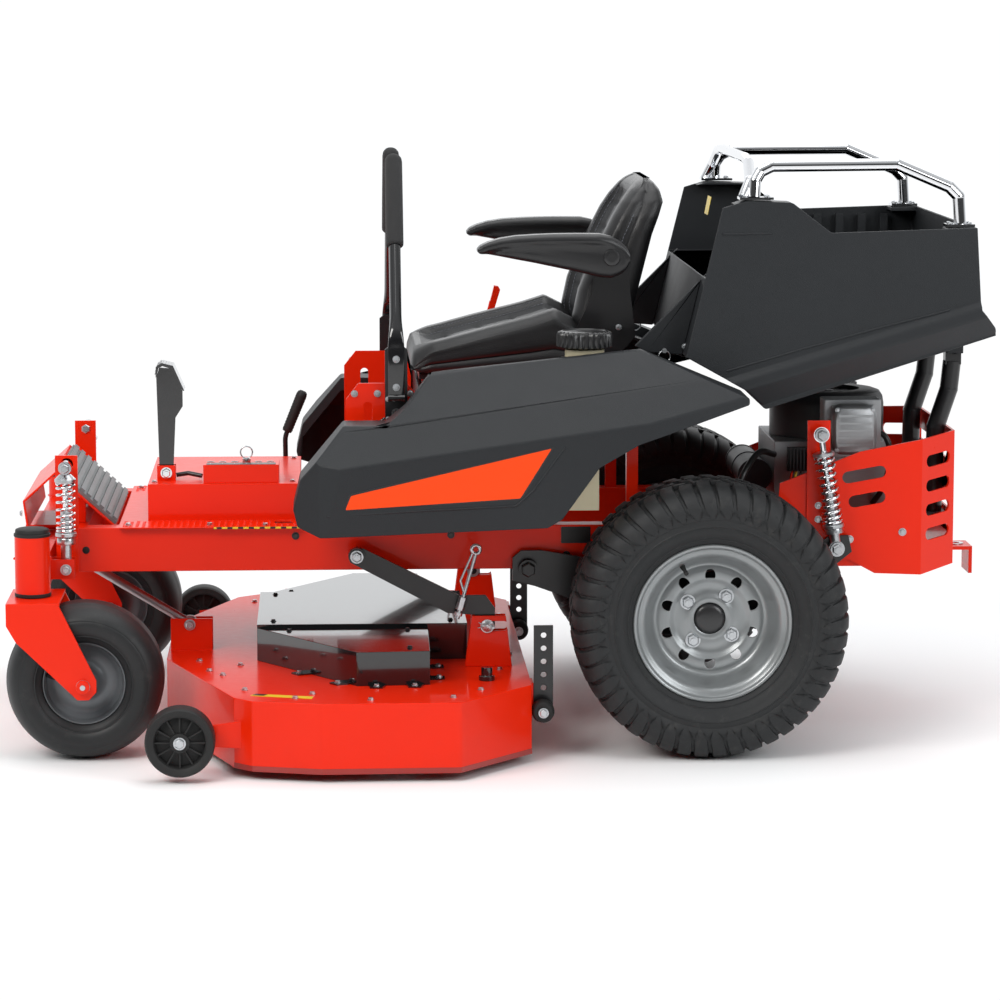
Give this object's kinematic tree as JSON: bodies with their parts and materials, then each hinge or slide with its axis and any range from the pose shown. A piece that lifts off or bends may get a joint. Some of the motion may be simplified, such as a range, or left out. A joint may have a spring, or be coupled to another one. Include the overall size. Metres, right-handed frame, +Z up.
{
  "type": "zero turn mower",
  "caption": "Ride-on mower steered by two hand levers, with front casters, large rear drive wheels, a low cutting deck, sprung suspension, a seat with armrests and a tipping cargo bed.",
  "frame": {"origin": "on the ground, at the centre of the machine's overall length and width", "axes": "+X toward the hitch at the rear, +Y toward the machine's right side (the discharge chute), +Z up"},
  "size_m": [2.126, 1.6, 1.2573],
  "materials": {
    "red_paint": "gloss",
    "dark_red_paint": "gloss",
    "black_paint": "satin",
    "charcoal_plastic": "textured",
    "tread_rubber": "matte",
    "pad_rubber": "matte",
    "grip_foam": "matte",
    "rim_silver": "satin",
    "caster_rim_grey": "satin",
    "zinc": "satin",
    "chrome_plate": "polished",
    "engine_alloy": "cast",
    "engine_black": "satin",
    "transaxle_case": "cast",
    "tank_plastic": "satin",
    "cap_plastic": "satin",
    "seat_vinyl": "satin",
    "arm_plastic": "satin"
  },
  "bodies": {
    "chassis": {"frame_rails": "red_paint", "cross_members": "red_paint", "floor_pan": "red_paint", "footrest_guard": "red_paint", "footrest_pad": "pad_rubber", "engine_guard": "red_paint", "bed_frame_tubes": "black_paint", "fenders": "charcoal_plastic", "fuel_tank": "tank_plastic", "engine_block": "engine_alloy", "engine_fittings": "engine_black", "height_stop_box": "red_paint", "seat_rails": "black_paint", "front_shock_rods": "zinc"},
    "front_arm_l": {"front_arm_left": "red_paint"},
    "front_arm_r": {"front_arm_right": "red_paint"},
    "front_shock_l": {"front_spring_left": "chrome_plate", "front_shock_body_left": "zinc"},
    "front_shock_r": {"front_spring_right": "chrome_plate", "front_shock_body_right": "zinc"},
    "caster_l": {"caster_fork_left": "red_paint"},
    "caster_r": {"caster_fork_right": "red_paint"},
    "caster_wheel_l": {"caster_rim_left": "caster_rim_grey", "caster_tyre_left": "tread_rubber"},
    "caster_wheel_r": {"caster_rim_right": "caster_rim_grey", "caster_tyre_right": "tread_rubber"},
    "swing_frame": {"rear_swing_frame": "black_paint", "transaxles": "transaxle_case"},
    "drive_wheel_l": {"rear_rim_left": "rim_silver", "rear_tyre_left": "tread_rubber"},
    "drive_wheel_r": {"rear_rim_right": "rim_silver", "rear_tyre_right": "tread_rubber"},
    "rear_shock_upper": {"rear_shock_rods": "zinc"},
    "rear_shock_lower": {"rear_shock_bodies": "zinc", "rear_springs": "chrome_plate"},
    "deck": {"deck_shell": "red_paint", "deck_covers": "black_paint"},
    "lift_arms": {"deck_lift_arms": "black_paint"},
    "pedal": {"deck_pedal": "black_paint"},
    "antiscalp": {"antiscalp_wheels": "grip_foam"},
    "rollers": {"rear_rollers": "grip_foam"},
    "chute": {"discharge_chute": "dark_red_paint"},
    "blade_l": {"blade_left": "zinc"},
    "blade_c": {"blade_centre": "zinc"},
    "blade_r": {"blade_right": "zinc"},
    "lever_pivot_l": {"lever_pivot_left": "black_paint"},
    "lever_pivot_r": {"lever_pivot_right": "black_paint"},
    "lever_l": {"control_lever_left": "grip_foam"},
    "lever_r": {"control_lever_right": "grip_foam"},
    "hand_lever_body": {"hand_lever": "black_paint"},
    "red_lever_body": {"red_lever": "red_paint"},
    "fuel_cap_body": {"fuel_cap": "cap_plastic"},
    "height_pin_body": {"height_pin": "zinc"},
    "seat": {"seat_cushion": "seat_vinyl", "seat_back": "seat_vinyl"},
    "arm_l": {"armrest_left": "arm_plastic"},
    "arm_r": {"armrest_right": "arm_plastic"},
    "bed": {"cargo_bed": "charcoal_plastic", "bed_rails": "chrome_plate"}
  },
  "joints": [
    {"name": "front_arm_left_pivot", "type": "hinge", "parent": "chassis", "child": "front_arm_l", "pos_m": [0, -0.07, 0.387], "axis": [-1, 0, 0], "range_deg": [0, 4.4], "stiffness_Nm_per_rad": 3200, "springref_deg": -12.61},
    {"name": "front_shock_left_travel", "type": "slide", "parent": "chassis", "child": "front_shock_l", "axis": [0, 0, 1], "range_m": [0, 0.0236], "deforming": ["front_spring_left"]},
    {"name": "caster_left_swivel", "type": "hinge", "parent": "front_arm_l", "child": "caster_l", "pos_m": [-1.006, -0.49, 0.4], "axis": [0, 0, 1], "continuous": true},
    {"name": "caster_left_spin", "type": "hinge", "parent": "caster_l", "child": "caster_wheel_l", "pos_m": [-0.898, -0.49, 0.165], "axis": [0, 1, 0], "continuous": true},
    {"name": "drive_wheel_left_spin", "type": "hinge", "parent": "swing_frame", "child": "drive_wheel_l", "pos_m": [0.418, -0.505, 0.292], "axis": [0, 1, 0], "continuous": true},
    {"name": "lever_left_drive", "type": "hinge", "parent": "chassis", "child": "lever_pivot_l", "pos_m": [-0.238, -0.38, 0.712], "axis": [0, -1, 0], "range_deg": [-14, 20]},
    {"name": "lever_left_swing_out", "type": "hinge", "parent": "lever_pivot_l", "child": "lever_l", "pos_m": [-0.238, -0.387, 0.745], "axis": [1, 0, 0], "range_deg": [0, 28]},
    {"name": "armrest_left_flip", "type": "hinge", "parent": "seat", "child": "arm_l", "pos_m": [0.226, -0.296, 1.037], "axis": [0, 1, 0], "range_deg": [0, 100]},
    {"name": "front_arm_right_pivot", "type": "hinge", "parent": "chassis", "child": "front_arm_r", "pos_m": [0, 0.07, 0.387], "axis": [1, 0, 0], "range_deg": [0, 4.4], "stiffness_Nm_per_rad": 3200, "springref_deg": -12.61},
    {"name": "front_shock_right_travel", "type": "slide", "parent": "chassis", "child": "front_shock_r", "axis": [0, 0, 1], "range_m": [0, 0.0236], "deforming": ["front_spring_right"]},
    {"name": "caster_right_swivel", "type": "hinge", "parent": "front_arm_r", "child": "caster_r", "pos_m": [-1.006, 0.49, 0.4], "axis": [0, 0, 1], "continuous": true},
    {"name": "caster_right_spin", "type": "hinge", "parent": "caster_r", "child": "caster_wheel_r", "pos_m": [-0.898, 0.49, 0.165], "axis": [0, 1, 0], "continuous": true},
    {"name": "drive_wheel_right_spin", "type": "hinge", "parent": "swing_frame", "child": "drive_wheel_r", "pos_m": [0.418, 0.505, 0.292], "axis": [0, 1, 0], "continuous": true},
    {"name": "lever_right_drive", "type": "hinge", "parent": "chassis", "child": "lever_pivot_r", "pos_m": [-0.238, 0.38, 0.712], "axis": [0, -1, 0], "range_deg": [-14, 20]},
    {"name": "lever_right_swing_out", "type": "hinge", "parent": "lever_pivot_r", "child": "lever_r", "pos_m": [-0.238, 0.387, 0.745], "axis": [-1, 0, 0], "range_deg": [0, 28]},
    {"name": "armrest_right_flip", "type": "hinge", "parent": "seat", "child": "arm_r", "pos_m": [0.226, 0.296, 1.037], "axis": [0, 1, 0], "range_deg": [0, 100]},
    {"name": "rear_suspension_pivot", "type": "hinge", "parent": "chassis", "child": "swing_frame", "pos_m": [0.045, 0, 0.369], "axis": [0, -1, 0], "range_deg": [0, 3.5], "stiffness_Nm_per_rad": 7000, "springref_deg": -17.19},
    {"name": "rear_shock_lean", "type": "hinge", "parent": "chassis", "child": "rear_shock_upper", "pos_m": [0.676, 0, 0.658], "axis": [0, -1, 0], "range_deg": [0, 0.6]},
    {"name": "rear_shock_travel", "type": "slide", "parent": "rear_shock_upper", "child": "rear_shock_lower", "axis": [-0.1437, 0, 0.9896], "range_m": [0, 0.0412], "deforming": ["rear_springs"]},
    {"name": "deck_lift", "type": "slide", "parent": "chassis", "child": "deck", "axis": [0, 0, 1], "range_m": [0, 0.1]},
    {"name": "lift_arm_pivot", "type": "hinge", "parent": "chassis", "child": "lift_arms", "pos_m": [-0.324, 0, 0.405], "axis": [0, -1, 0], "range_deg": [0, 19.3]},
    {"name": "deck_pedal_pivot", "type": "hinge", "parent": "chassis", "child": "pedal", "pos_m": [-0.737, -0.16, 0.56], "axis": [0, -1, 0], "range_deg": [0, 29]},
    {"name": "antiscalp_spin", "type": "hinge", "parent": "deck", "child": "antiscalp", "pos_m": [-0.69, 0, 0.085], "axis": [0, 1, 0], "continuous": true},
    {"name": "roller_spin", "type": "hinge", "parent": "deck", "child": "rollers", "pos_m": [0.063, 0, 0.106], "axis": [0, 1, 0], "continuous": true},
    {"name": "chute_hinge", "type": "hinge", "parent": "deck", "child": "chute", "pos_m": [-0.33, 0.63, 0.15], "axis": [1, 0, 0], "range_deg": [0, 85]},
    {"name": "blade_centre_spin", "type": "hinge", "parent": "deck", "child": "blade_c", "pos_m": [-0.385, -0.085, 0.1], "axis": [0, 0, 1], "continuous": true},
    {"name": "blade_left_spin", "type": "hinge", "parent": "deck", "child": "blade_l", "pos_m": [-0.255, -0.54, 0.1], "axis": [0, 0, 1], "continuous": true},
    {"name": "blade_right_spin", "type": "hinge", "parent": "deck", "child": "blade_r", "pos_m": [-0.255, 0.37, 0.1], "axis": [0, 0, 1], "continuous": true},
    {"name": "hand_lever_pivot", "type": "hinge", "parent": "chassis", "child": "hand_lever_body", "pos_m": [-0.481, 0.265, 0.495], "axis": [0, 1, 0], "range_deg": [-10, 20]},
    {"name": "red_lever_pivot", "type": "hinge", "parent": "chassis", "child": "red_lever_body", "pos_m": [-0.014, 0.392, 0.834], "axis": [0, 1, 0], "range_deg": [-8, 12]},
    {"name": "fuel_cap_turn", "type": "hinge", "parent": "chassis", "child": "fuel_cap_body", "pos_m": [0.163, -0.385, 0.87], "axis": [0, 0, 1], "continuous": true},
    {"name": "height_pin_pull", "type": "slide", "parent": "chassis", "child": "height_pin_body", "axis": [0, 0, 1], "range_m": [0, 0.045]},
    {"name": "seat_slide", "type": "slide", "parent": "chassis", "child": "seat", "axis": [-1, 0, 0], "range_m": [-0.03, 0.04]},
    {"name": "bed_tilt", "type": "hinge", "parent": "chassis", "child": "bed", "pos_m": [0.992, 0, 0.822], "axis": [0, 1, 0], "range_deg": [0, 60]}
  ],
  "couplings": [
    {"joint": "front_shock_left_travel", "follows": "front_arm_left_pivot", "m_per_rad": 0.3055},
    {"joint": "front_shock_right_travel", "follows": "front_arm_right_pivot", "m_per_rad": 0.3055},
    {"joint": "rear_shock_travel", "follows": "rear_suspension_pivot", "m_per_rad": 0.66709},
    {"joint": "rear_shock_lean", "follows": "rear_suspension_pivot", "ratio": 0.16686},
    {"joint": "lift_arm_pivot", "follows": "deck_lift", "rad_per_m": 3.351},
    {"joint": "deck_pedal_pivot", "follows": "deck_lift", "rad_per_m": 4.9916},
    {"joint": "blade_left_spin", "follows": "blade_centre_spin", "ratio": 1},
    {"joint": "blade_right_spin", "follows": "blade_centre_spin", "ratio": 1}
  ]
}
